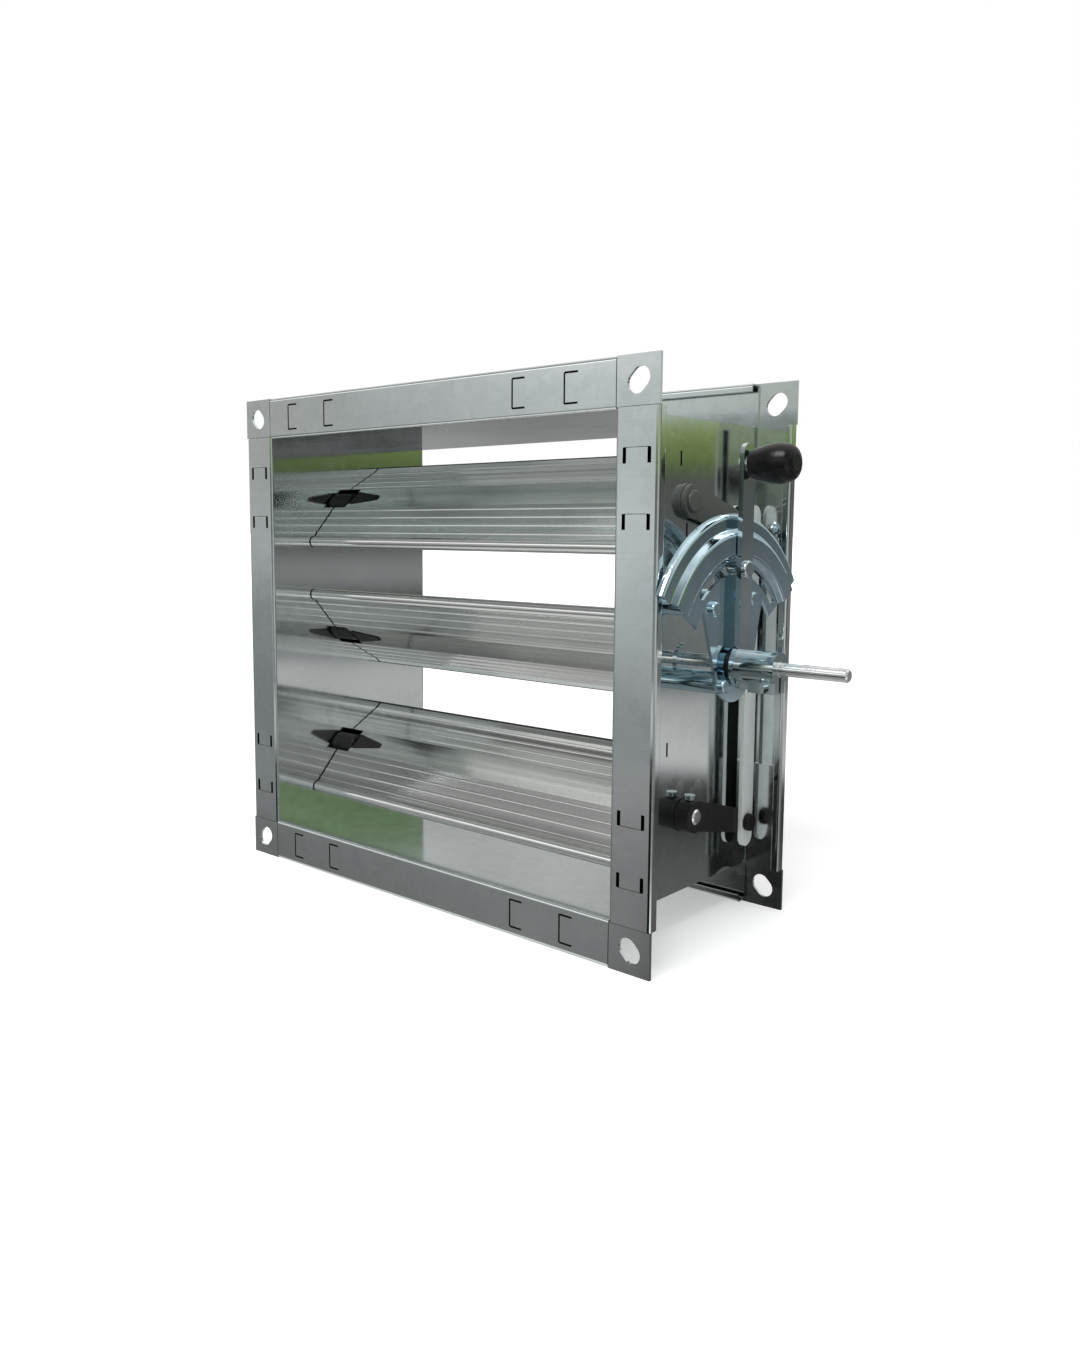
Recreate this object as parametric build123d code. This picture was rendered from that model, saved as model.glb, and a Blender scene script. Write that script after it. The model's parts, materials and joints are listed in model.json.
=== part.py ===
from build123d import *
import math
import os

os.makedirs("parts", exist_ok=True)

# Multi-leaf damper with opposed blades, in millimetres.
# X runs across the airway towards the operator's side, Y runs with the air and Z is up.
# The origin is the centre of the front flange's four corner slots, on the flange's face.

# Casing: four roll-formed channels and eight corner plates
airway_width = 325.0
airway_height = 300.0
casing_depth = 163.0
sheet = 1.2
bend_radius = 1.6
flange_height = 30.0
lip_depth = 8.0
hem_depth = 5.0
corner_thickness = 2.0
corner_rail_arm_length = 90.0
corner_stile_arm_length = 72.0
corner_arm_margin = 2.5
rail_joint_gap = 0.5
stile_joint_gap = 0.25
slot_width = 12.5
slot_length = 16.5
slot_inset = 14.5

# Pressed locking marks that hold the corner plates and the flanges
mark_cut = 1.2
rail_mark_height = 18.0
rail_mark_tick = 10.0
rail_mark_positions = (-140.0, -98.0, 84.0, 125.0)
stile_mark_pitch = 17.0
stile_mark_length = 9.0
stile_mark_positions = (91.0, 128.5)
stile_mark_line = 0.3

# Short slits pierced in the operator's side wall, as depth and height
wall_slit_length = 9.0
wall_slit_width = 1.8
wall_slits = ((67.7, 126.0), (75.8, 82.0), (58.3, -55.5))

# Blades and their shafts
blade_pitch = 100.0
blade_edge_gap = 0.4
blade_end_gap = 1.0
blade_skin = 1.0
blade_band_half_width = 11.0
blade_half_thickness = 8.0
blade_shoulder = 41.5
blade_shoulder_half_thickness = 3.4
rib_count = 4
rib_radius = 1.3
rib_rise = 0.5
nose_radius = 4.6
hem_half_thickness = 2.4
seal_bulb = 3.0
seal_root = 4.0
open_to_rest = 40.0
closed_to_rest = 50.0
shaft_radius = 5.0
shaft_setback = 6.0
fit_gap = 0.05

# Plastic bushes in the side walls and plugs in the blade ends
bush_neck_radius = 8.0
bush_boss_radius = 10.0
bush_boss_length = 12.0
bush_chamfer = 1.5
bush_collar_radius = 11.0
bush_collar = 1.5
bush_clearance = 0.1
notch_clearance = 1.5
plug_length = 28.0
plug_half_width = 11.0
plug_wide_end = 14.0
plug_narrow_end = 4.0
plug_proud = 0.8
shaft_bare = 4.0

# Cranks and tie bar on the operator's side
crank_flange_gap = 0.95
crank_rest_angle = -14.2
crank_gap = 0.3
crank_thickness = 3.0
crank_hub_length = 10.0
crank_hub_radius = 10.5
crank_screw_seat = 0.3
crank_eye_radius = 8.0
pin_radius = 3.0
pin_clearance = 0.08
pin_head_radius = 6.0
pin_head_length = 4.0
bar_gap = 0.3
bar_thickness = 2.5
bar_width = 15.0
bar_overhang = 17.0
screw_radius = 2.0
screw_head_radius = 3.5
screw_head_length = 3.0
screw_tip_gap = 0.2
pin_rounding = 1.5
end_screw_length = 9.0
end_screw_head_length = 1.6

# Hand quadrant, standing off the wall so that the lever clears the flanges
quadrant_offset = 34.0
quadrant_sheet = 2.0
quadrant_front_angle = -60.0
quadrant_rear_angle = 57.0
quadrant_web_front_angle = -46.0
quadrant_web_rear_angle = 40.0
quadrant_web_foot_turn = 50.0
quadrant_slot_inside = 8.0
quadrant_slot_outside = 9.0
quadrant_band_width = 12.0
quadrant_band_rise = 3.5
quadrant_rim_width = 12.5
quadrant_rim_depth = 2.5
quadrant_fold_radius = 1.8
quadrant_hub_radius = 23.0
quadrant_bush_radius = 7.5
quadrant_bush_tail = 1.5
quadrant_bush_lip = 2.5
quadrant_bush_collar = 1.5
post_radius = 5.0
post_screw_radius = 4.6
post_screw_height = 3.0
post_places = ((-26.0, 35.5), (19.0, 39.5), (-13.0, -12.0), (13.0, -12.0))

# Hand lever, grip and locking nut
lever_gap = 0.5
lever_thickness = 3.0
lever_width = 13.5
lever_length = 134.0
lever_hub_radius = 14.0
lever_boss_radius = 10.0
lever_boss_length = 24.0
spacer_gap = 0.3
knob_inset = 13.0
knob_radius = 12.0
knob_length = 28.0
stud_radius = 3.0
ferrule_radius = 5.0
ferrule_length = 2.5
rivet_head_length = 2.0
lock_radius = 58.5
lock_slot_clearance = 0.5
lock_slot_slack = 1.0
lock_bolt_radius = 2.5
lock_head_radius = 5.5
lock_head_length = 2.2
washer_radius = 6.5
washer_thickness = 1.2
washer_gap = 0.1
nut_flats = 8.0
nut_thickness = 4.0
lock_bolt_tail = 2.5
foot_length = 18.0
foot_width = 12.0
foot_depth = 15.0
foot_slit = 2.0
pinch_height = -11.5

# Drive spindle, screwed into the middle shaft's end, and the reversing gear on the far side
spindle_reach = 110.0
spindle_radius = 4.0
spindle_chamfer = 1.0
spigot_radius = 3.0
spigot_length = 11.5
socket_depth = 12.0
shaft_proud = 1.0
gear_module = 2.5
gear_pressure_angle = 20.0
gear_backlash = 0.2
gear_thickness = 6.0
gear_hub_radius = 11.0
gear_hub_length = 12.0
gear_rim_width = 6.0
gear_eye_width = 5.0
gear_dedendum = 1.25
gear_half_angle = 62.0
gear_foot_angle = 57.2
gear_window_angles = (7.8, 39.0)

# Worked-out places
half_width = airway_width / 2
half_height = airway_height / 2
wall_face = half_width + sheet
shaft_y = casing_depth / 2 - shaft_setback
blade_half_chord = blade_pitch / 2 - blade_edge_gap
blade_half_length = half_width - blade_end_gap
blade_heights = {"top": blade_pitch, "middle": 0.0, "bottom": -blade_pitch}


def disc(radius, start, end, y=shaft_y, z=0.0):
    """A cylinder along X between two X places."""
    return Pos((start + end) / 2, y, z) * Rot(0, 90, 0) * Cylinder(radius, end - start)


def plate(sketch, start, thickness, y=shaft_y, z=0.0):
    """A flat piece drawn in Y and Z about a point, thickened along X."""
    return extrude(Plane((start, y, z), x_dir=(0, 1, 0), z_dir=(1, 0, 0)) * sketch, thickness)


def polar(radius, degrees):
    """A point in Y and Z, the angle counted from straight up towards the rear."""
    return (radius * math.sin(math.radians(degrees)), radius * math.cos(math.radians(degrees)))


def turned(part, degrees, z):
    """The part turned about a shaft's axis, by the right-hand rule about X."""
    return part.rotate(Axis((0, shaft_y, z), (1, 0, 0)), degrees)


def save(name, part):
    """Writes one named sub-part, as one shape or a group of separate solids."""
    part.label = name
    export_step(part, f"parts/{name}.step")


# Casing

def casing_channel(length):
    """A channel with its web's airway face at Z = 0, its flanges upwards and its length along X."""
    mid = sheet / 2
    top = flange_height - mid
    path = [
        (lip_depth - mid, flange_height - hem_depth),
        (lip_depth - mid, top),
        (mid, top),
        (mid, mid),
        (casing_depth - mid, mid),
        (casing_depth - mid, top),
        (casing_depth - lip_depth + mid, top),
        (casing_depth - lip_depth + mid, flange_height - hem_depth),
    ]
    line = Plane.YZ * FilletPolyline(*path, radius=bend_radius)
    section = make_face(offset(line, amount=mid, side=Side.BOTH).edges())
    return extrude(section, length / 2, both=True)


def both_flanges(cut):
    """The same cut through the front flange and the rear one."""
    rear = Pos(0, casing_depth - sheet, 0) * cut
    return [cut, rear]


def rail_mark(x):
    """A bracket-shaped cut, open towards +X, on the front flange of a channel."""
    middle = flange_height / 2
    y = sheet / 2
    bar = Pos(x, y, middle) * Box(mark_cut, 2 * sheet, rail_mark_height)
    tick_x = x + rail_mark_tick / 2
    rise = rail_mark_height / 2
    ticks = [Pos(tick_x, y, middle + s * rise) * Box(rail_mark_tick, 2 * sheet, mark_cut) for s in (-1, 1)]
    return bar + ticks


def stile_mark(x):
    """Two short cuts across the front flange of a channel, joined by a fine line."""
    middle = flange_height / 2
    y = sheet / 2
    inward = -math.copysign(stile_mark_length / 2, x)
    half = stile_mark_pitch / 2
    cut = Box(stile_mark_length, 2 * sheet, 2 * mark_cut)
    line = Pos(x, y, middle) * Box(stile_mark_line, 2 * sheet, stile_mark_pitch)
    return line + [Pos(x + inward, y, middle + s * half) * cut for s in (-1, 1)]


def rail():
    """The top channel, in place."""
    part = casing_channel(airway_width)
    for x in rail_mark_positions:
        part = part - both_flanges(rail_mark(x))
    return Pos(0, 0, half_height) * part


def stile():
    """The operator's side channel, in place, with its three bush holes."""
    part = casing_channel(airway_height + 2 * sheet)
    for x in stile_mark_positions:
        part = part - both_flanges(stile_mark(x)) - both_flanges(stile_mark(-x))
    part = Pos(half_width, 0, 0) * Rot(0, 90, 0) * part
    for z in blade_heights.values():
        part = part - disc(bush_neck_radius, half_width - sheet, wall_face + sheet, z=z)
    return part


def wall_slit_cuts():
    """The short upright slits in the operator's side wall."""
    return [Pos(wall_face, y, z) * Box(4 * sheet, wall_slit_width, wall_slit_length) for y, z in wall_slits]


def corner_plate():
    """The front corner plate at the operator's side, top: a slotted square and two arms."""
    low_x = half_width
    high_x = half_width + flange_height
    low_z = half_height + sheet
    high_z = half_height + flange_height
    along = (Align.MIN, Align.MIN, Align.MIN)
    square_x = low_x + rail_joint_gap
    square_z = low_z + stile_joint_gap
    square = Pos(square_x, 0, square_z) * Box(
        high_x - square_x, corner_thickness, high_z - square_z, align=along)
    arm_width = flange_height - 2 * corner_arm_margin
    seat = sheet + fit_gap
    rail_arm = Pos(low_x - corner_rail_arm_length, seat, half_height + corner_arm_margin) * Box(
        corner_rail_arm_length + corner_arm_margin, corner_thickness, arm_width, align=along)
    stile_arm = Pos(low_x + corner_arm_margin, seat, low_z - corner_stile_arm_length) * Box(
        arm_width, corner_thickness, corner_stile_arm_length + corner_arm_margin, align=along)
    slot = Plane.XZ * Rot(0, 0, 45) * SlotOverall(slot_length, slot_width)
    hole = extrude(slot, 4 * corner_thickness, both=True)
    hole = Pos(high_x - slot_inset, 0, high_z - slot_inset) * hole
    return square + rail_arm + stile_arm - hole


def bush(z):
    """A flanged plastic bush in the operator's side wall."""
    boss_start = half_width - bush_boss_length
    boss = disc(bush_boss_radius, boss_start, half_width - fit_gap, z=z)
    boss = chamfer(boss.edges().group_by(Axis.X)[0], bush_chamfer)
    neck = disc(bush_neck_radius - bush_clearance, half_width - sheet, wall_face + sheet, z=z)
    collar = disc(bush_collar_radius, wall_face + fit_gap, wall_face + bush_collar, z=z)
    bore = disc(shaft_radius + fit_gap, boss_start - 1, wall_face + bush_collar + 1, z=z)
    return boss + neck + collar - bore


# Blades, drawn closed with the front face towards -Y and the rounded nose edge down

def skin_points(sign):
    """Points of one skin from the nose to the rear hem: a flat band between two tapering sides."""
    points = [
        (blade_shoulder_half_thickness, -blade_shoulder),
        (blade_half_thickness, -blade_band_half_width),
        (blade_half_thickness, blade_band_half_width),
        (hem_half_thickness, blade_shoulder),
    ]
    return [(sign * v, u) for v, u in points]


def bead_places():
    """Centres of the rolled beads on both skins, each sunk below the tapering side it stands on."""
    sink = rib_radius - rib_rise
    places = []
    for sign in (-1, 1):
        points = skin_points(sign)
        for first, second in (points[:2], points[2:]):
            for i in range(rib_count):
                share = (i + 0.5) / rib_count
                v = first[0] + share * (second[0] - first[0])
                u = first[1] + share * (second[1] - first[1])
                places.append((v - sign * sink, u))
    return places


def blade_closed():
    """A hollow blade with beaded skins, notched round the bushes and slotted for its plugs."""
    front = skin_points(-1)
    back = skin_points(1)
    hem_end = blade_half_chord - seal_bulb
    hem = [(-hem_half_thickness, hem_end), (hem_half_thickness, hem_end)]
    body = make_face(Polyline(*front, *hem, *reversed(back), front[0]).edges())
    for place in bead_places():
        body = body + Pos(*place) * Circle(rib_radius)
    nose = Pos(0, -(blade_half_chord - nose_radius))
    inner_band = blade_half_thickness - blade_skin
    inner_edge = blade_shoulder_half_thickness - blade_skin
    inner_hem = hem_half_thickness - blade_skin
    one_side = [
        (inner_edge, -blade_shoulder),
        (inner_band, -blade_band_half_width),
        (inner_band, blade_band_half_width),
        (inner_hem, blade_shoulder),
        (inner_hem, blade_half_chord),
    ]
    other_side = [(-v, u) for v, u in reversed(one_side)]
    hollow = make_face(Polyline(*one_side, *other_side, one_side[0]).edges())
    section = body + nose * Circle(nose_radius) - hollow - nose * Circle(nose_radius - blade_skin)
    blade = extrude(Plane.YZ * section, blade_half_length, both=True)
    notch = bush_boss_length + notch_clearance
    notch_width = 2 * (bush_boss_radius + notch_clearance)
    for side in (-1, 1):
        start = side * (half_width - notch / 2)
        blade = blade - Pos(start, 0, 0) * Box(notch, 4 * blade_half_thickness, notch_width)
        blade = blade - plug_ridge(side, fit_gap, notch)
    return Pos(0, shaft_y, 0) * blade


def seal_closed():
    """A rubber bulb along the rear hem, its root held between the two skins."""
    seat = blade_half_chord - seal_bulb + fit_gap
    bulb_centre = blade_half_chord - hem_half_thickness
    root_half = hem_half_thickness - blade_skin - fit_gap
    root = Pos(0, seat - seal_root / 2) * Rectangle(2 * root_half, seal_root)
    base = Pos(0, (seat + bulb_centre) / 2) * Rectangle(2 * hem_half_thickness, bulb_centre - seat)
    above = Pos(0, seat) * Rectangle(4 * hem_half_thickness, seal_bulb, align=(Align.CENTER, Align.MIN))
    bulb = Pos(0, bulb_centre) * Circle(hem_half_thickness) & above
    return Pos(0, shaft_y, 0) * extrude(Plane.YZ * (root + base + bulb), blade_half_length, both=True)


def plug_start():
    return half_width - bush_boss_length - shaft_bare


def plug_ridge(side, margin, overrun):
    """The tapered wedge of a plug, which shows through the blade's front skin."""
    start = plug_start()
    taper = (plug_wide_end - plug_narrow_end) / 2 / plug_length
    wide = plug_wide_end / 2 + margin + taper * overrun
    narrow = plug_narrow_end / 2 + margin
    low = start - plug_length - margin
    high = start + overrun
    outline = Polyline((high, -wide), (low, -narrow), (low, narrow), (high, wide), (high, -wide))
    wedge = extrude(Plane.XZ * make_face(outline.edges()), blade_half_thickness + plug_proud)
    return wedge if side > 0 else mirror(wedge, Plane.YZ)


def plug_closed():
    """A plastic plug that grips the shaft inside the blade's end, operator's side."""
    depth = 2 * (blade_half_thickness - blade_skin - fit_gap)
    start = plug_start()
    block = Pos(start - plug_length / 2, 0, 0) * Box(plug_length, depth, 2 * plug_half_width)
    part = block + plug_ridge(1, 0, 0)
    part = Pos(0, shaft_y, 0) * part
    return part - disc(shaft_radius + fit_gap, start - 2 * plug_length, start + plug_length)


def posed(part, name):
    """A part drawn closed, moved to its blade and turned to the rest pose."""
    z = blade_heights[name]
    if name == "middle":
        part = mirror(part, Plane.XY)
        return turned(part, closed_to_rest, 0)
    return turned(Pos(0, 0, z) * part, -closed_to_rest, z)


# Cranks and tie bar

crank_start = wall_face + bush_collar + crank_gap
bar_start = crank_start + crank_thickness + bar_gap
rear_arm_face = casing_depth - sheet - fit_gap - corner_thickness
crank_radius = rear_arm_face - crank_flange_gap - crank_eye_radius - shaft_y
crank_dy = crank_radius * math.cos(math.radians(crank_rest_angle))
crank_dz = crank_radius * math.sin(math.radians(crank_rest_angle))


def crank_plate(z):
    """A flat crank: an eye for the tie bar's pin and a wider one on the shaft."""
    eye = Pos(crank_dy, crank_dz) * Circle(crank_eye_radius)
    arm = make_hull((Circle(crank_hub_radius) + eye).edges())
    part = plate(arm, crank_start, crank_thickness, z=z)
    low = crank_start - 1
    part = part - disc(shaft_radius + fit_gap, low, bar_start, z=z)
    return part - disc(pin_radius + fit_gap, low, bar_start, y=shaft_y + crank_dy, z=z + crank_dz)


def hubbed_crank(z):
    """A moulded crank, whose longer hub a screw clamps to the shaft."""
    start = crank_start
    hub = disc(crank_hub_radius, start, start + crank_hub_length, z=z)
    hub = hub - disc(shaft_radius + fit_gap, start - 1, start + 2 * crank_hub_length, z=z)
    part = crank_plate(z) + hub
    return part - hub_rod(screw_radius + fit_gap, z, shaft_radius, crank_hub_radius + 1)


def hub_rod(radius, z, low, high):
    """A cylinder along Z above a shaft, at the middle of a crank's hub."""
    x = crank_start + crank_hub_length / 2
    return Pos(x, shaft_y, z + (low + high) / 2) * Cylinder(radius, high - low)


def clamp_screw(z):
    """The screw that clamps a hubbed crank to its shaft."""
    seat = crank_hub_radius + crank_screw_seat
    shank = hub_rod(screw_radius, z, shaft_radius + screw_tip_gap, seat)
    head = hub_rod(screw_head_radius, z, seat, seat + screw_head_length)
    return shank + head


def end_screw(z):
    """The low screw in a shaft's end that holds a flat crank on."""
    face = crank_start + crank_thickness
    head = disc(shaft_radius + screw_radius, face, face + end_screw_head_length, z=z)
    head = fillet(head.edges().group_by(Axis.X)[-1], end_screw_head_length / 2)
    return disc(screw_radius, face - end_screw_length, face, z=z) + head


def crank_pin(z):
    """A pin fixed in the crank's eye, with a head outside the tie bar."""
    y = shaft_y + crank_dy
    pin_z = z + crank_dz
    head_start = bar_start + bar_thickness + bar_gap
    shank = disc(pin_radius, crank_start, head_start, y=y, z=pin_z)
    head = disc(pin_head_radius, head_start, head_start + pin_head_length, y=y, z=pin_z)
    head = fillet(head.edges().group_by(Axis.X)[-1], pin_rounding)
    return shank + head


def tie_bar():
    """The flat bar that joins the cranks of the two outer blades."""
    span = 2 * blade_pitch
    outline = SlotOverall(span + 2 * bar_overhang, bar_width, rotation=90)
    holes = [Pos(0, s * span / 2) * Circle(pin_radius + pin_clearance) for s in (-1, 1)]
    outline = outline - holes[0] - holes[1]
    return plate(outline, bar_start, bar_thickness, y=shaft_y + crank_dy, z=crank_dz)


# Hand quadrant and lever

plate_start = wall_face + quadrant_offset
plate_face = plate_start + quadrant_sheet
lever_start = plate_face + quadrant_band_rise + lever_gap
lever_face = lever_start + lever_thickness
knob_place = lever_length - knob_inset
quadrant_inner_radius = lock_radius - quadrant_slot_inside
quadrant_band_inner = lock_radius + quadrant_slot_outside
quadrant_band_outer = quadrant_band_inner + quadrant_band_width
quadrant_rim_radius = quadrant_band_outer + quadrant_rim_width


def quadrant_plate():
    """A pressed quadrant: a slotted sheet, a raised round band and a turned-over rim about a hub."""
    mid = quadrant_sheet / 2
    rise = quadrant_band_rise
    ramp = 0.8 * rise
    inner = quadrant_inner_radius
    path = [
        (inner, mid),
        (quadrant_band_inner - ramp, mid),
        (quadrant_band_inner, mid + rise),
        (quadrant_band_outer, mid + rise),
        (quadrant_band_outer + ramp, mid),
        (quadrant_rim_radius - mid, mid),
        (quadrant_rim_radius - mid, -quadrant_rim_depth),
    ]
    line = FilletPolyline(*path, radius=quadrant_fold_radius)
    section = make_face(offset(line, amount=mid, side=Side.BOTH).edges())
    frame = Plane(origin=(0, 0, 0), x_dir=(0, 0, 1), z_dir=(0, 1, 0))
    ring = revolve(frame * section, Axis.X, quadrant_rear_angle - quadrant_front_angle)
    ring = ring.rotate(Axis.X, -quadrant_rear_angle)
    front = quadrant_web_front_angle
    rear = quadrant_web_rear_angle
    corners = [
        polar(inner + mid, front),
        polar(2 * inner, (front + rear) / 2),
        polar(inner + mid, rear),
        polar(quadrant_hub_radius, rear + quadrant_web_foot_turn),
        polar(quadrant_hub_radius, front - quadrant_web_foot_turn),
    ]
    web = make_face(Polyline(*corners, corners[0]).edges())
    base = (web & Circle(inner + mid)) + Circle(quadrant_hub_radius)
    base = base - Circle(quadrant_bush_radius + fit_gap)
    part = ring + extrude(Plane.YZ * base, quadrant_sheet)
    part = part - extrude(Plane.YZ * lock_slot(), quadrant_sheet)
    return Pos(plate_start, shaft_y, 0) * part


def lock_slot():
    """The curved slot that the lever's locking bolt slides in, a little longer than its travel."""
    half = lock_bolt_radius + lock_slot_clearance
    first = -(open_to_rest + lock_slot_slack)
    last = closed_to_rest + lock_slot_slack
    arc = CenterArc((0, 0), lock_radius, 90 - last, last - first)
    return SlotArc(arc, 2 * half)


def quadrant_posts():
    """Four spacers between the wall and the quadrant."""
    return [disc(post_radius, wall_face, plate_start, y=shaft_y + y, z=z) for y, z in post_places]


def quadrant_screws():
    """The pan heads of the screws that hold the quadrant to its spacers."""
    heads = []
    for y, z in post_places:
        head = disc(post_screw_radius, plate_face, plate_face + post_screw_height, y=shaft_y + y, z=z)
        heads.append(fillet(head.edges().group_by(Axis.X)[-1], post_screw_height * 0.45))
    return heads


def quadrant_bush():
    """A plastic bush that steadies the spindle in the quadrant."""
    start = plate_start - quadrant_bush_tail
    end = plate_face + quadrant_bush_collar
    part = disc(quadrant_bush_radius, start, plate_face)
    part = part + disc(quadrant_bush_radius + quadrant_bush_lip, plate_face, end)
    return part - disc(shaft_radius + fit_gap, start - quadrant_sheet, end + quadrant_sheet)


def lever():
    """The hand lever: a flat arm, and a split boss with a foot that a screw pinches on the spindle."""
    straight = lever_length - lever_width / 2
    arm = Pos(0, straight / 2) * Rectangle(lever_width, straight)
    tip = Pos(0, straight) * Circle(lever_width / 2)
    part = plate(arm + tip + Circle(lever_hub_radius), lever_start, lever_thickness)
    boss_end = lever_face + lever_boss_length
    part = part + disc(lever_boss_radius, lever_face, boss_end)
    foot_x = boss_end - foot_length / 2
    part = part + Pos(foot_x, shaft_y, -foot_depth / 2) * Box(foot_length, foot_width, foot_depth)
    part = part - Pos(foot_x, shaft_y, -foot_depth) * Box(foot_length, foot_slit, 2 * foot_depth)
    part = part - disc(shaft_radius + fit_gap, lever_start - 1, boss_end + 1)
    part = part - disc(stud_radius + fit_gap, lever_start - 1, lever_face + 1, z=knob_place)
    part = part - disc(lock_bolt_radius + fit_gap, lever_start - 1, lever_face + 1, z=lock_radius)
    return part - pinch_rod(screw_radius + fit_gap, 2 * foot_width)


def pinch_rod(radius, length):
    """A cylinder across the lever's foot, on the pinch screw's line."""
    x = lever_face + lever_boss_length - foot_length / 2
    return Pos(x, shaft_y, pinch_height) * Rot(90, 0, 0) * Cylinder(radius, length)


def lever_pinch_screw():
    """The screw that closes the lever's foot on the spindle, with its head towards the front."""
    shank = pinch_rod(screw_radius, foot_width)
    head = Pos(0, -(foot_width + screw_head_length) / 2, 0) * pinch_rod(screw_head_radius, screw_head_length)
    return shank + head


def lever_stud():
    """The bright stud that carries the knob, riveted through the lever."""
    tail = rivet_head_length
    part = disc(stud_radius, lever_start - tail, lever_face + ferrule_length + knob_length / 2, z=knob_place)
    part = part + disc(ferrule_radius, lever_start - tail, lever_start, z=knob_place)
    return part + disc(ferrule_radius, lever_face, lever_face + ferrule_length, z=knob_place)


def lever_knob():
    """A turned black knob with a waist and a rounded end."""
    start = lever_face + ferrule_length
    r = knob_radius
    n = knob_length
    side = Spline((0.72 * r, 0), (r * 0.86, n * 0.22), (r, n * 0.62), (r * 0.8, n * 0.93), (r * 0.3, n))
    outline = side.edges() + Polyline((r * 0.3, n), (0, n), (0, 0), (0.72 * r, 0)).edges()
    frame = Plane(origin=(start, shaft_y, knob_place), x_dir=(0, 0, 1), z_dir=(0, 1, 0))
    knob = revolve(frame * make_face(outline), Axis((start, shaft_y, knob_place), (1, 0, 0)))
    return knob - disc(stud_radius + fit_gap, start - 1, start + knob_length / 2 + 0.2, z=knob_place)


def spindle_collar():
    """The spacer between the quadrant's bush and the lever."""
    start = plate_face + quadrant_bush_collar + spacer_gap
    spacer = disc(lever_boss_radius, start, lever_start - fit_gap)
    return spacer - disc(shaft_radius + fit_gap, start - 1, lever_face)


nut_start = plate_start - washer_gap - washer_thickness - nut_thickness


def lock_bolt():
    """The bolt that rides with the lever through the quadrant's slot, its low head outside."""
    start = nut_start - lock_bolt_tail
    head = disc(lock_head_radius, lever_face, lever_face + lock_head_length, z=lock_radius)
    head = fillet(head.edges().group_by(Axis.X)[-1], lock_head_length * 0.6)
    return disc(lock_bolt_radius, start, lever_face, z=lock_radius) + head


def lock_washer():
    """The washer between the locking nut and the back of the quadrant."""
    start = nut_start + nut_thickness
    ring = disc(washer_radius, start, start + washer_thickness, z=lock_radius)
    return ring - disc(lock_bolt_radius + fit_gap, start - 1, start + 2 * washer_thickness, z=lock_radius)


def lock_nut():
    """The hexagon nut behind the quadrant that clamps the lever where it is set."""
    outline = RegularPolygon(nut_flats / 2, 6, major_radius=False)
    outline = outline - Circle(lock_bolt_radius + fit_gap)
    return plate(outline, nut_start, nut_thickness, z=lock_radius)


# Reversing gear on the far side

far_hub_end = wall_face + bush_collar + crank_gap + gear_hub_length


def gear_sector(upward):
    """A toothed sector with involute flanks, which meshes with its twin at the blade pitch."""
    pitch_radius = blade_pitch / 2
    teeth = round(2 * pitch_radius / gear_module)
    pressure = math.radians(gear_pressure_angle)
    base_radius = pitch_radius * math.cos(pressure)
    tip_radius = pitch_radius + gear_module
    root_radius = pitch_radius - gear_dedendum * gear_module
    flank_foot = max(base_radius, root_radius)
    involute = math.tan(pressure) - pressure
    half_tooth = math.pi / (2 * teeth) - gear_backlash / (2 * pitch_radius)
    step = 2 * math.pi / teeth
    count = int(math.radians(gear_half_angle) / step)
    points = []
    for k in range(-count, count + 1):
        centre = k * step if upward else (k + 0.5) * step
        flank = []
        for i in range(4):
            radius = flank_foot + (tip_radius - flank_foot) * i / 3
            alpha = math.acos(min(1.0, base_radius / radius))
            angle = half_tooth + involute - (math.tan(alpha) - alpha)
            flank.append((radius, angle))
        left = [(root_radius, centre - flank[0][1])] + [(r, centre - a) for r, a in flank]
        right = [(r, centre + a) for r, a in reversed(flank)] + [(root_radius, centre + flank[0][1])]
        points += left + right
    outline = [(r * math.sin(a), r * math.cos(a)) for r, a in points]
    inner = 0.8 * gear_hub_radius
    foot = [polar(inner, s * gear_foot_angle) for s in (1, -1)]
    face = make_face(Polyline(*outline, *foot, outline[0]).edges())
    window_outer = root_radius - gear_rim_width
    window_inner = gear_hub_radius + gear_eye_width
    ring = Circle(window_outer) - Circle(window_inner)
    reach = 3 * window_outer
    for s in (-1, 1):
        sides = [polar(reach, s * angle) for angle in gear_window_angles]
        face = face - (ring & make_face(Polyline((0, 0), *sides, (0, 0)).edges()))
    near = -(wall_face + bush_collar + crank_gap)
    z = -blade_pitch if upward else 0.0
    sector = face if upward else face.rotate(Axis.Z, 180)
    part = plate(sector, near - gear_thickness, gear_thickness, z=z)
    part = part + disc(gear_hub_radius, -far_hub_end, near, z=z)
    return part - disc(shaft_radius + fit_gap, -far_hub_end - 1, near + 1, z=z)


# Shafts


def top_shaft():
    """The top blade's shaft: it ends at its flat crank's face, with a hole for the crank's screw."""
    z = blade_heights["top"]
    near = crank_start + crank_thickness - fit_gap
    part = disc(shaft_radius, -(wall_face + bush_collar + shaft_proud), near, z=z)
    part = chamfer(part.edges().group_by(Axis.X)[0], spindle_chamfer)
    return part - disc(screw_radius + fit_gap, near - end_screw_length - fit_gap, near + 1, z=z)


def middle_shaft():
    """The driven shaft, which ends in the lever's boss with a socket for the drive spindle."""
    near = lever_face + lever_boss_length
    part = disc(shaft_radius, -(far_hub_end + shaft_proud), near)
    part = chamfer(part.edges().group_by(Axis.X)[0], spindle_chamfer)
    return part - disc(spigot_radius + fit_gap, near - socket_depth, near + 1)


def bottom_shaft():
    """The bottom blade's shaft, from the gear's hub to the moulded crank's."""
    z = blade_heights["bottom"]
    near = crank_start + crank_hub_length + shaft_proud
    part = disc(shaft_radius, -(far_hub_end + shaft_proud), near, z=z)
    return chamfer(part.edges().filter_by(GeomType.CIRCLE), spindle_chamfer)


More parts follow.
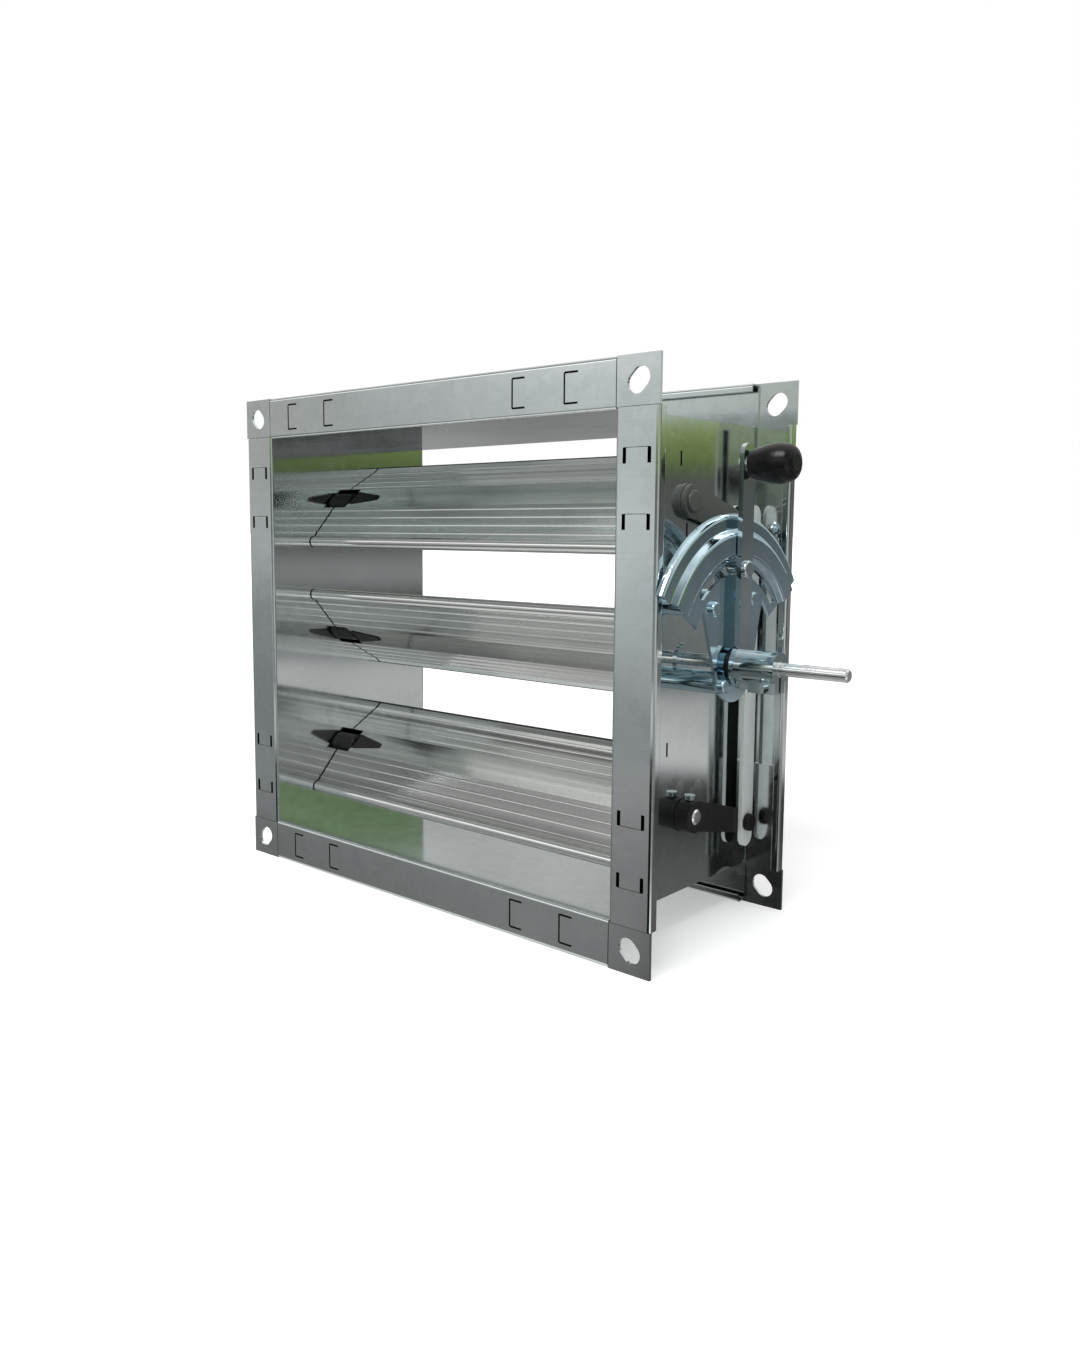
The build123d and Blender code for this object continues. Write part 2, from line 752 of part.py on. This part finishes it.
def drive_spindle():
    """The plain round extension that a motor clamps on, with a spigot in the middle shaft's end."""
    start = lever_face + lever_boss_length
    rod = disc(spindle_radius, start, wall_face + spindle_reach)
    rod = chamfer(rod.edges().group_by(Axis.X)[-1], spindle_chamfer)
    return rod + disc(spigot_radius, start - spigot_length, start)


# Write every sub-part

save("casing_top", rail())
save("casing_bottom", mirror(rail(), Plane.XY))
save("casing_right", stile() - wall_slit_cuts())
save("casing_left", mirror(stile(), Plane.YZ))

middle_depth = Plane((0, casing_depth / 2, 0), x_dir=(1, 0, 0), z_dir=(0, 1, 0))
plate_front_top_right = corner_plate()
for end, first in (("front", plate_front_top_right), ("rear", mirror(plate_front_top_right, middle_depth))):
    for height, second in (("top", first), ("bottom", mirror(first, Plane.XY))):
        save(f"corner_{end}_{height}_right", second)
        save(f"corner_{end}_{height}_left", mirror(second, Plane.YZ))

for name, z in blade_heights.items():
    near_bush = bush(z)
    save(f"bush_{name}_right", near_bush)
    save(f"bush_{name}_left", mirror(near_bush, Plane.YZ))
    save(f"blade_{name}", posed(blade_closed(), name))
    save(f"blade_{name}_seal", posed(seal_closed(), name))
    save(f"blade_{name}_plug_right", posed(plug_closed(), name))
    save(f"blade_{name}_plug_left", mirror(posed(plug_closed(), name), Plane.YZ))

save("shaft_top", top_shaft())
save("shaft_middle", middle_shaft())
save("shaft_bottom", bottom_shaft())
save("drive_spindle", drive_spindle())

save("crank_top", crank_plate(blade_heights["top"]))
save("crank_top_screw", end_screw(blade_heights["top"]))
save("crank_top_pin", crank_pin(blade_heights["top"]))
save("crank_bottom", hubbed_crank(blade_heights["bottom"]))
save("crank_bottom_screw", clamp_screw(blade_heights["bottom"]))
save("crank_bottom_pin", crank_pin(blade_heights["bottom"]))
save("tie_bar", tie_bar())

save("quadrant_plate", quadrant_plate())
save("quadrant_posts", Compound(children=quadrant_posts()))
save("quadrant_screws", Compound(children=quadrant_screws()))
save("quadrant_bush", quadrant_bush())
save("lock_bolt", lock_bolt())
save("lock_washer", lock_washer())
save("lock_nut", lock_nut())
save("hand_lever", lever())
save("lever_pinch_screw", lever_pinch_screw())
save("lever_stud", lever_stud())
save("lever_knob", lever_knob())
save("spindle_collar", spindle_collar())
save("gear_sector_middle", gear_sector(False))
save("gear_sector_bottom", gear_sector(True))
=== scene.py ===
import json
import math
from functools import reduce

import bpy
from mathutils import Euler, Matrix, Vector


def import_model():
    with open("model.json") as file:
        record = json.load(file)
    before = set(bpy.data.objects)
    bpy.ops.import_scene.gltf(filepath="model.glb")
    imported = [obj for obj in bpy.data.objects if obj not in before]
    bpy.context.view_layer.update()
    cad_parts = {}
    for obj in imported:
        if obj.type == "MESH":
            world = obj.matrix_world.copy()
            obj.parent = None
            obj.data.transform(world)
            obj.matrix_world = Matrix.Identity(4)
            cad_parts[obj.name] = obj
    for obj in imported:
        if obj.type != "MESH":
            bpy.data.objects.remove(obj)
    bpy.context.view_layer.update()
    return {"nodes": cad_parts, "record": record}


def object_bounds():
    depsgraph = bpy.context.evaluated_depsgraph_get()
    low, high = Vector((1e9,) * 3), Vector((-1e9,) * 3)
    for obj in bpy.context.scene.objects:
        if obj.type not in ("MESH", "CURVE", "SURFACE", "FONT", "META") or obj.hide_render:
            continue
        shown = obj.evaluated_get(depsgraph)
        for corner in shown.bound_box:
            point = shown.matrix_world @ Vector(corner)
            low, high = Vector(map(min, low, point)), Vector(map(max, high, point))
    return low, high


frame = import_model()
nodes = frame["nodes"]

mm = 0.001
white = (1.0, 1.0, 1.0)


def grey(level, tint=white):
    return tuple(level * part for part in tint)


# Node building blocks, for the materials and the world

# A colour Mix node has several sockets of one name, so its sockets go by number
mix_factor, mix_first, mix_second, mix_result = 0, 6, 7, 2


class Nodes:
    """Adds and links the nodes of one tree."""

    def __init__(self, tree):
        self.tree = tree

    def feed(self, socket, value):
        """Gives an input another node's output, a number, a vector or a colour."""
        if isinstance(value, bpy.types.NodeSocket):
            self.tree.links.new(value, socket)
        elif socket.type == "RGBA":
            socket.default_value = (*value, 1.0)
        else:
            socket.default_value = value

    def add(self, kind, inputs=None, **settings):
        node = self.tree.nodes.new(kind)
        for name, value in settings.items():
            setattr(node, name, value)
        for name, value in (inputs or {}).items():
            self.feed(node.inputs[name], value)
        return node

    def calculate(self, operation, *values):
        return self.add("ShaderNodeMath", dict(enumerate(values)), operation=operation).outputs[0]

    def sum(self, *values):
        return reduce(lambda total, value: self.calculate("ADD", total, value), values)

    def times(self, first, second):
        return self.calculate("MULTIPLY", first, second)

    def distance(self, value, middle):
        return self.calculate("ABSOLUTE", self.calculate("SUBTRACT", value, middle))

    def band(self, value, low, high):
        """One where the value lies between two limits, and nought elsewhere."""
        above = self.calculate("GREATER_THAN", value, low)
        below = self.calculate("LESS_THAN", value, high)
        return self.times(above, below)

    def ramp(self, value, low, high, start=0.0, end=1.0):
        """Carries a value from one range, start to end, over to another, low to high, and holds it there."""
        inputs = {"Value": value, "From Min": start, "From Max": end, "To Min": low, "To Max": high}
        return self.add("ShaderNodeMapRange", inputs).outputs["Result"]

    def share(self, value, amount):
        """What a pattern adds to a sum: from nought up to the amount."""
        return self.ramp(value, 0.0, amount)

    def fade(self, value, start, end):
        """Nought at the start and one at the end."""
        return self.ramp(value, 0.0, 1.0, start, end)

    def blend(self, factor, first, second):
        inputs = {mix_factor: factor, mix_first: first, mix_second: second}
        return self.add("ShaderNodeMix", inputs, data_type="RGBA").outputs[mix_result]

    def parts(self, vector):
        return self.add("ShaderNodeSeparateXYZ", {"Vector": vector}).outputs

    def stretched(self, vector, scales):
        return self.add("ShaderNodeMapping", {"Vector": vector, "Scale": scales}).outputs["Vector"]

    def noise(self, vector, scale, detail, rough):
        inputs = {"Vector": vector, "Scale": scale, "Detail": detail, "Roughness": rough}
        return self.add("ShaderNodeTexNoise", inputs).outputs["Fac"]


class Finish(Nodes):
    """The nodes of one material. Its patterns lie at places of the shared frame, in metres."""

    def __init__(self, name):
        self.material = bpy.data.materials.new(name)
        self.material.use_nodes = True
        super().__init__(self.material.node_tree)
        coordinates = self.add("ShaderNodeTexCoord").outputs
        self.place = coordinates["Object"]
        self.facing = coordinates["Normal"]

    def cloud(self, scale, detail=4.0):
        return self.noise(self.place, scale, detail, rough=0.6)

    def grain(self, scale):
        return self.noise(self.place, scale, detail=2.0, rough=0.6)

    def waves(self, scale, detail=1.0):
        return self.noise(self.place, scale, detail, rough=0.4)

    def streaks(self, scales, detail, rough):
        """Noise drawn out into lines, by its own scale along x, y and z."""
        return self.noise(self.stretched(self.place, scales), scale=1.0, detail=detail, rough=rough)

    def crystals(self, scale):
        """A spangle of cells, each with one level of its own."""
        cells = self.add("ShaderNodeTexVoronoi", {"Vector": self.place, "Scale": scale})
        return self.add("ShaderNodeSeparateColor", {"Color": cells.outputs["Color"]}).outputs["Red"]

    def worn(self, colour, rubbed, reach, patches):
        """A colour that is rubbed along sharp edges, as far in as the reach and only in patches.

        Each pair of limits says where wear starts and where it is full. One is for how alike the plain and
        the rounded normal are, the other for the noise that makes the patches.
        """
        edge_limits, patch_limits = (0.995, 0.90), (0.42, 0.60)
        rounded = self.add("ShaderNodeBevel", {"Radius": reach}, samples=4).outputs["Normal"]
        plain = self.add("ShaderNodeNewGeometry").outputs["Normal"]
        alike = self.add("ShaderNodeVectorMath", {0: rounded, 1: plain}, operation="DOT_PRODUCT")
        edge = self.fade(alike.outputs["Value"], *edge_limits)
        patch = self.fade(self.cloud(patches, detail=3.0), *patch_limits)
        return self.blend(self.times(edge, patch), colour, rubbed)

    def bump(self, height, distance):
        return self.add("ShaderNodeBump", {"Height": height, "Distance": distance}).outputs["Normal"]

    def dress(self, inputs):
        """Feeds the shader's inputs, each by its name, and gives back the material."""
        shader = self.tree.nodes["Principled BSDF"]
        for name, value in inputs.items():
            self.feed(shader.inputs[name], value)
        return self.material


# Places on the casing that the materials go by. The top channel fits between the side walls.

sheet = 1.2 * mm
margin = 0.2 * mm
top_channel = nodes["casing_top"].bound_box
wall_inside = max(corner[0] for corner in top_channel)
wall_outside = wall_inside + sheet
front_face = min(corner[1] for corner in top_channel)
rear_face = max(corner[1] for corner in top_channel)
middle_depth = (front_face + rear_face) / 2
half_depth = (rear_face - front_face) / 2

# How far out a side wall and its slits lie
slit_places = (wall_inside - margin, wall_outside + margin)

# A locking cut's depths under the flange's face: through the flange's own sheet, and on the arm of a corner
# plate that lies under it
sheet_depths = (-margin, sheet + margin / 2)
arm_depths = (sheet - 0.3 * mm, sheet + 0.4 * mm)

# Limits for one part of the surface normal, without its sign: near nought edge on, near one face on
edge_on = (-1.0, 0.12)
face_on = (0.9, 2.0)
wall_edge_on = (-1.0, 0.3)


# Finishes

# How far in from a sharp edge wear reaches
metal_wear = 0.4 * mm
plastic_wear = 0.6 * mm

# Tints: how much red, green and blue a grey keeps
cool = (0.945, 1.0, 0.995)
bluish = (0.86, 0.97, 1.0)
blue = (0.70, 0.90, 1.0)
blade_tint = (0.985, 1.0, 0.975)
steel_tint = (0.99, 1.0, 1.0)
aged_tint = (0.93, 1.0, 0.92)
rubbed_sheet = (1.0, 0.97, 0.93)
rubbed_plating = (1.0, 0.96, 0.90)
# The tint of the painted shade on the wall side of satin parts
back_shade_tint = (1.0, 0.94, 0.88)

in_shade = grey(0.006)
# Painted shade: colour for the side of a satin part that faces -x, towards the wall
painted_back_shade = grey(0.03, back_shade_tint)


def cut_shade(n, depths, facing, slits):
    """One on the sides or floors of the locking cuts, and on the sides of a side wall's slits."""
    place = n.parts(n.place)
    normal = n.parts(n.facing)
    shallow, deep = depths
    under_face = n.band(n.distance(place["Y"], middle_depth), half_depth - deep, half_depth - shallow)
    shade = n.times(under_face, n.band(n.distance(normal["Y"], 0.0), *facing))
    if slits:
        in_wall = n.band(n.distance(place["X"], 0.0), *slits)
        shade = n.sum(shade, n.times(in_wall, n.band(n.distance(normal["X"], 0.0), *wall_edge_on)))
    return shade


def zinc_sheet(name, level, tint, roughness, depths, facing, slits=None):
    """Bright galvanised sheet with its cuts in shade.

    It has faint crystals, roll lines and a slow waviness that bends reflections.
    """
    n = Finish(name)
    flake = n.crystals(130.0)
    lines = n.streaks((9.0, 900.0, 900.0), detail=2.0, rough=0.6)
    cloud = n.cloud(14.0)
    shade = n.sum(n.share(flake, 0.26), n.share(lines, 0.34), n.share(cloud, 0.40))
    clean = n.blend(shade, grey(0.86 * level, tint), grey(1.10 * level, tint))
    colour = n.worn(clean, grey(0.62 * level, rubbed_sheet), metal_wear, patches=90.0)
    frosting = n.ramp(flake, 0.55 * roughness, 0.8 * roughness)
    relief = n.sum(n.waves(7.0), n.share(lines, 0.003), n.share(flake, 0.002))
    return n.dress({
        "Base Color": n.blend(cut_shade(n, depths, facing, slits), colour, in_shade),
        "Metallic": 1.0,
        "Roughness": n.sum(frosting, n.share(cloud, 0.7 * roughness)),
        "Normal": n.bump(relief, 0.20 * mm),
    })


def rolled_blade(name, level, tint, roughness):
    """Roll-formed sheet, streaked along its length, with a soft cloudiness."""
    n = Finish(name)
    broad, ribs, lines = (
        n.streaks((0.8, across, across), detail=1.0, rough=0.5) for across in (70.0, 160.0, 300.0)
    )
    cloud = n.cloud(16.0)
    shade = n.sum(n.ramp(broad, -0.40, 0.95), n.ramp(lines, -0.15, 0.50), n.share(cloud, 0.25))
    relief = n.sum(n.waves(5.0, detail=0.0), n.share(ribs, 0.9))
    return n.dress({
        "Base Color": n.blend(shade, grey(0.56 * level, tint), grey(1.14 * level, tint)),
        "Metallic": 1.0,
        "Roughness": n.sum(n.ramp(lines, 0.7 * roughness, roughness), n.share(cloud, 0.3 * roughness)),
        "Normal": n.bump(relief, 0.12 * mm),
    })


def plated(name, level, tint, roughness):
    """Bright zinc plating on a stamped or turned part."""
    n = Finish(name)
    cloud = n.cloud(60.0)
    fine = n.grain(1800.0)
    clean = n.blend(cloud, grey(0.8 * level, tint), grey(1.15 * level, tint))
    return n.dress({
        "Base Color": n.worn(clean, grey(0.55 * level, rubbed_plating), metal_wear, patches=160.0),
        "Metallic": 1.0,
        "Roughness": n.sum(n.ramp(cloud, 0.6 * roughness, roughness), n.share(fine, 0.08)),
        "Normal": n.bump(n.sum(n.waves(26.0), n.share(fine, 0.02)), 0.22 * mm),
    })


def satin(name, level, tint, roughness):
    """Dull zinc plating, which scatters most of the light. The side that faces -x, towards the wall, gets
    painted shade.
    """
    n = Finish(name)
    cloud = n.cloud(40.0)
    drawn = n.streaks((900.0, 900.0, 8.0), detail=2.0, rough=0.6)
    shade = n.sum(n.share(cloud, 0.6), n.share(drawn, 0.4))
    face = n.blend(shade, grey(0.85 * level, tint), grey(1.12 * level, tint))
    # Painted shade: the side that faces -x is coloured dark, as if shaded by the wall
    back = n.calculate("LESS_THAN", n.parts(n.facing)["X"], -0.5)
    return n.dress({
        "Base Color": n.blend(back, face, painted_back_shade),
        "Metallic": 0.35,
        "Roughness": n.ramp(cloud, 0.85 * roughness, 1.2 * roughness),
        "Normal": n.bump(drawn, 0.02 * mm),
    })


def capped(name):
    """A black bush with a plated cap on the outer side of the wall."""
    n = Finish(name)
    outside = n.calculate("GREATER_THAN", n.parts(n.place)["X"], wall_outside - margin)
    fine = n.grain(2000.0)
    cloud = n.cloud(60.0)
    black = n.blend(cloud, grey(0.006), grey(0.018))
    plate = n.blend(cloud, grey(0.62, bluish), grey(0.84, bluish))
    return n.dress({
        "Base Color": n.blend(outside, black, plate),
        "Metallic": outside,
        "Roughness": n.sum(n.ramp(outside, 0.42, 0.10), n.share(fine, 0.08)),
        "Normal": n.bump(fine, 0.03 * mm),
    })


def moulded(name, level, roughness, grain):
    """Black plastic or rubber with a fine moulded grain."""
    n = Finish(name)
    cloud = n.cloud(90.0, detail=3.0)
    fine = n.grain(grain)
    clean = n.blend(cloud, grey(0.6 * level), grey(1.6 * level))
    return n.dress({
        "Base Color": n.worn(clean, grey(1.6 * level + 0.02), plastic_wear, patches=220.0),
        "Roughness": n.ramp(fine, 0.8 * roughness, 1.2 * roughness),
        "Specular IOR Level": 0.25,
        "Normal": n.bump(fine, 0.06 * mm),
    })


channel = dict(level=0.80, tint=cool, roughness=0.085, depths=sheet_depths, facing=edge_on)
corner_plate = dict(level=0.78, tint=cool, roughness=0.12, depths=arm_depths, facing=face_on)
finishes = {
    "galvanised_sheet": (zinc_sheet, channel),
    "slit_wall": (zinc_sheet, dict(channel, slits=slit_places)),
    "galvanised_plate": (zinc_sheet, corner_plate),
    "blade_steel": (rolled_blade, dict(level=0.80, tint=blade_tint, roughness=0.14)),
    "bright_steel": (plated, dict(level=0.92, tint=steel_tint, roughness=0.18)),
    "zinc_steel": (plated, dict(level=0.74, tint=bluish, roughness=0.08)),
    "blue_zinc": (plated, dict(level=0.80, tint=blue, roughness=0.08)),
    "dull_zinc": (satin, dict(level=0.80, tint=cool, roughness=0.36)),
    "aged_zinc": (satin, dict(level=0.13, tint=aged_tint, roughness=0.36)),
    "capped_bush": (capped, {}),
    "black_plastic": (moulded, dict(level=0.007, roughness=0.42, grain=2600.0)),
    "knob_plastic": (moulded, dict(level=0.004, roughness=0.16, grain=3000.0)),
    "black_rubber": (moulded, dict(level=0.014, roughness=0.62, grain=2200.0)),
}
looks = {name: make(name, **settings) for name, (make, settings) in finishes.items()}

# These pieces have a look of their own in place of their slot's
own_looks = {
    "slit_wall": ("casing_left", "casing_right"),
    "dull_zinc": ("tie_bar",),
    "blue_zinc": ("quadrant_plate", "quadrant_posts", "quadrant_screws", "spindle_collar"),
    "aged_zinc": ("crank_top", "crank_top_screw", "bush_top_right"),
    "capped_bush": ("bush_middle_right",),
}
slots = {part["node"]: part["material_slot"] for part in frame["record"]["subparts"]}
for look, names in own_looks.items():
    slots.update(dict.fromkeys(names, look))
for name, obj in nodes.items():
    for slot in obj.material_slots:
        slot.material = looks[slots[name]]


# What the metal mirrors on each side, from the ground over low walls and hedges to open sky.
# Each stop is a height in degrees, a brightness and, where it has one, a tint.

pale = (0.96, 1.0, 1.0)
leaf = (0.72, 1.0, 0.34)
hedge = (0.70, 1.0, 0.52)
open_sky = [(15.0, 1.6), (20.0, 1.6), (23.0, 0.36), (45.0, 0.33), (60.0, 0.55), (90.0, 1.1)]
sides = {
    "front": [
        (-60.0, 0.85), (-30.0, 0.75), (-26.0, 0.18), (-22.0, 0.23), (-18.0, 0.225), (-14.0, 0.31),
        (-10.5, 0.29, pale), (-7.0, 0.45, pale), (-3.0, 0.55, pale), (7.6, 0.56, pale), (9.4, 0.82),
        (13.0, 0.86), *open_sky,
    ],
    "front_left": [
        (-60.0, 0.80), (-30.0, 0.70), (-26.0, 0.15), (-16.0, 0.15), (-12.0, 0.26, pale), (-4.0, 0.33, pale),
        (4.0, 0.45), (13.0, 0.50), (15.0, 1.4), (20.0, 1.4), (23.0, 0.33), (45.0, 0.34), (60.0, 0.55),
        (90.0, 1.1),
    ],
    "front_right": [
        (-60.0, 0.30), (-32.0, 0.20), (-26.0, 0.01), (-11.8, 0.01), (-11.3, 0.64), (-9.0, 0.66),
        (-8.2, 0.22, pale), (-4.0, 0.26, pale), (0.0, 0.16, pale), (2.6, 0.14), (3.2, 0.22, leaf),
        (5.2, 0.40, leaf), (5.9, 0.56, pale), (13.0, 0.60), *open_sky,
    ],
    "right": [
        (-60.0, 0.60), (-36.0, 0.75), (-29.0, 0.55), (-26.0, 1.40, pale), (-22.0, 1.40, pale),
        (-18.0, 0.35, pale), (-14.0, 0.22), (-9.0, 0.30, pale), (-5.0, 0.55, pale), (0.0, 0.45, pale),
        (6.0, 0.44), (13.0, 0.48), (20.0, 0.70), (26.0, 0.28), (45.0, 0.24), (60.0, 0.50), (90.0, 1.1),
    ],
    "rear_left": [
        (-60.0, 0.55), (-38.0, 0.42), (-30.0, 0.60), (-24.0, 0.30), (-5.4, 0.26), (-5.25, 0.08),
        (-5.1, 0.34), (-4.9, 0.12), (-4.6, 0.32), (5.0, 0.40), (18.0, 0.46), (30.0, 0.58), (90.0, 1.1),
    ],
    "rear": [
        (-60.0, 0.30), (-30.0, 0.20), (-24.0, 0.10), (-19.0, 0.11), (-16.2, 0.07), (-15.4, 0.04),
        (-12.9, 0.04), (-12.4, 0.58), (-9.0, 0.52), (-8.2, 0.15, pale), (-4.0, 0.20, pale),
        (0.0, 0.13, pale), (2.6, 0.10), (3.2, 0.17, leaf), (5.2, 0.33, leaf), (5.9, 0.52, pale),
        (14.0, 0.56, pale), (90.0, 1.1),
    ],
    "rear_right": [
        (-60.0, 0.50), (-30.0, 0.40), (-24.0, 0.10), (-14.0, 0.14), (-11.0, 0.42), (-7.2, 0.60),
        (-6.4, 0.08), (-3.6, 0.05), (-2.8, 0.27), (-1.6, 0.24), (-1.2, 0.08), (2.2, 0.07),
        (2.8, 0.13, leaf), (5.0, 0.32, leaf), (14.0, 0.22, hedge), (16.5, 0.26, hedge), (20.0, 0.60),
        (90.0, 1.1),
    ],
}

# Where one side fades into the next, by the x of the direction looked in, and front into rear, by its y
front_fades = [(-0.80, -0.62, "front"), (-0.53, -0.46, "front_right"), (0.58, 0.64, "right")]
rear_fades = [(-0.2, 0.1, "rear"), (0.58, 0.70, "rear_right")]
front_to_rear = (-0.25, 0.25)


def surroundings(n, height, stops):
    """A colour for each height of the direction looked in, from nought straight down to one straight up."""
    ramp = n.add("ShaderNodeValToRGB", {"Fac": height})
    points = ramp.color_ramp.elements
    while len(points) < len(stops):
        points.new(0.5)
    for point, (degrees, *shade) in zip(points, stops):
        point.position = 0.5 + 0.5 * math.sin(math.radians(degrees))
        point.color = (*grey(*shade), 1.0)
    return ramp.outputs["Color"]


def sweep(n, x, colours, first, fades):
    """One half of the surroundings, from its leftmost side over to the right."""
    colour = colours[first]
    for start, end, side in fades:
        colour = n.blend(n.fade(x, start, end), colour, colours[side])
    return colour


def patchy(n, direction, colour):
    """Breaks the even bands up into soft lighter and darker patches."""
    patches = n.noise(n.stretched(direction, (2.6, 2.6, 5.0)), scale=1.6, detail=2.0, rough=0.5)
    amount = n.ramp(patches, low=0.80, high=1.20, start=0.3, end=0.7)
    return n.add("ShaderNodeVectorMath", {0: colour, "Scale": amount}, operation="SCALE").outputs["Vector"]


def world():
    """Soft surroundings for the bright metal to mirror, and plain white behind the object."""
    studio = bpy.data.worlds.new("studio")
    bpy.context.scene.world = studio
    studio.use_nodes = True
    n = Nodes(studio.node_tree)
    direction = n.add("ShaderNodeTexCoord").outputs["Generated"]
    x, y, z = n.parts(direction)
    height = n.fade(z, -1.0, 1.0)
    colours = {name: surroundings(n, height, stops) for name, stops in sides.items()}
    front = sweep(n, x, colours, "front_left", front_fades)
    rear = sweep(n, x, colours, "rear_left", rear_fades)
    around = patchy(n, direction, n.blend(n.fade(y, *front_to_rear), front, rear))
    seen = n.add("ShaderNodeLightPath").outputs["Is Camera Ray"]
    n.feed(n.tree.nodes["Background"].inputs["Color"], n.blend(seen, around, white))


# Floor, light and camera

floor_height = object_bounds()[0].z


def placed(name, data):
    """A new object in the scene."""
    obj = bpy.data.objects.new(name, data)
    bpy.context.collection.objects.link(obj)
    return obj


def floor():
    """A pale floor that runs far back and turns white with distance. The metal doesn't mirror it."""
    reach = 30.0
    near, far = 0.5, 4.0
    mesh = bpy.data.meshes.new("floor")
    corners = [(-reach, -reach, floor_height), (reach, -reach, floor_height),
               (reach, reach, floor_height), (-reach, reach, floor_height)]
    mesh.from_pydata(corners, [], [(0, 1, 2, 3)])
    n = Finish("pale_floor")
    away = n.add("ShaderNodeVectorMath", {0: n.place}, operation="LENGTH").outputs["Value"]
    mesh.materials.append(n.dress({
        "Base Color": n.blend(n.noise(n.place, 3.0, detail=3.0, rough=0.5), grey(0.88), grey(0.92)),
        "Emission Color": n.blend(n.fade(away, near, far), grey(0.30), white),
        "Emission Strength": 1.0,
        "Roughness": 0.9,
        "Specular IOR Level": 0.1,
    }))
    obj = placed("floor", mesh)
    obj.visible_glossy = False


def key_light():
    """One wide soft light, high in front of the object."""
    place = Vector((0.2, -1.6, 2.2))
    target = Vector((0.0, 0.1, 0.0))
    data = bpy.data.lights.new("key", "AREA")
    data.shape = "RECTANGLE"
    data.size, data.size_y = 2.0, 1.2
    data.energy = 60.0
    obj = placed("key", data)
    obj.location = place
    obj.rotation_euler = (target - place).to_track_quat("-Z", "Y").to_euler()


def camera():
    """The photograph's viewpoint, measured from the casing's corners."""
    data = bpy.data.cameras.new("camera")
    data.sensor_width = 36.0
    data.lens = 28.99
    data.shift_x = 0.0293
    data.shift_y = -0.0224
    obj = placed("camera", data)
    obj.location = (0.5339, -0.51229, 0.08342)
    tilt, roll, turn = 83.815, -0.2215, 41.8675
    obj.rotation_euler = Euler([math.radians(angle) for angle in (tilt, roll, turn)])
    bpy.context.scene.camera = obj


bpy.context.scene.view_settings.view_transform = "Standard"
floor()
world()
key_light()
camera()
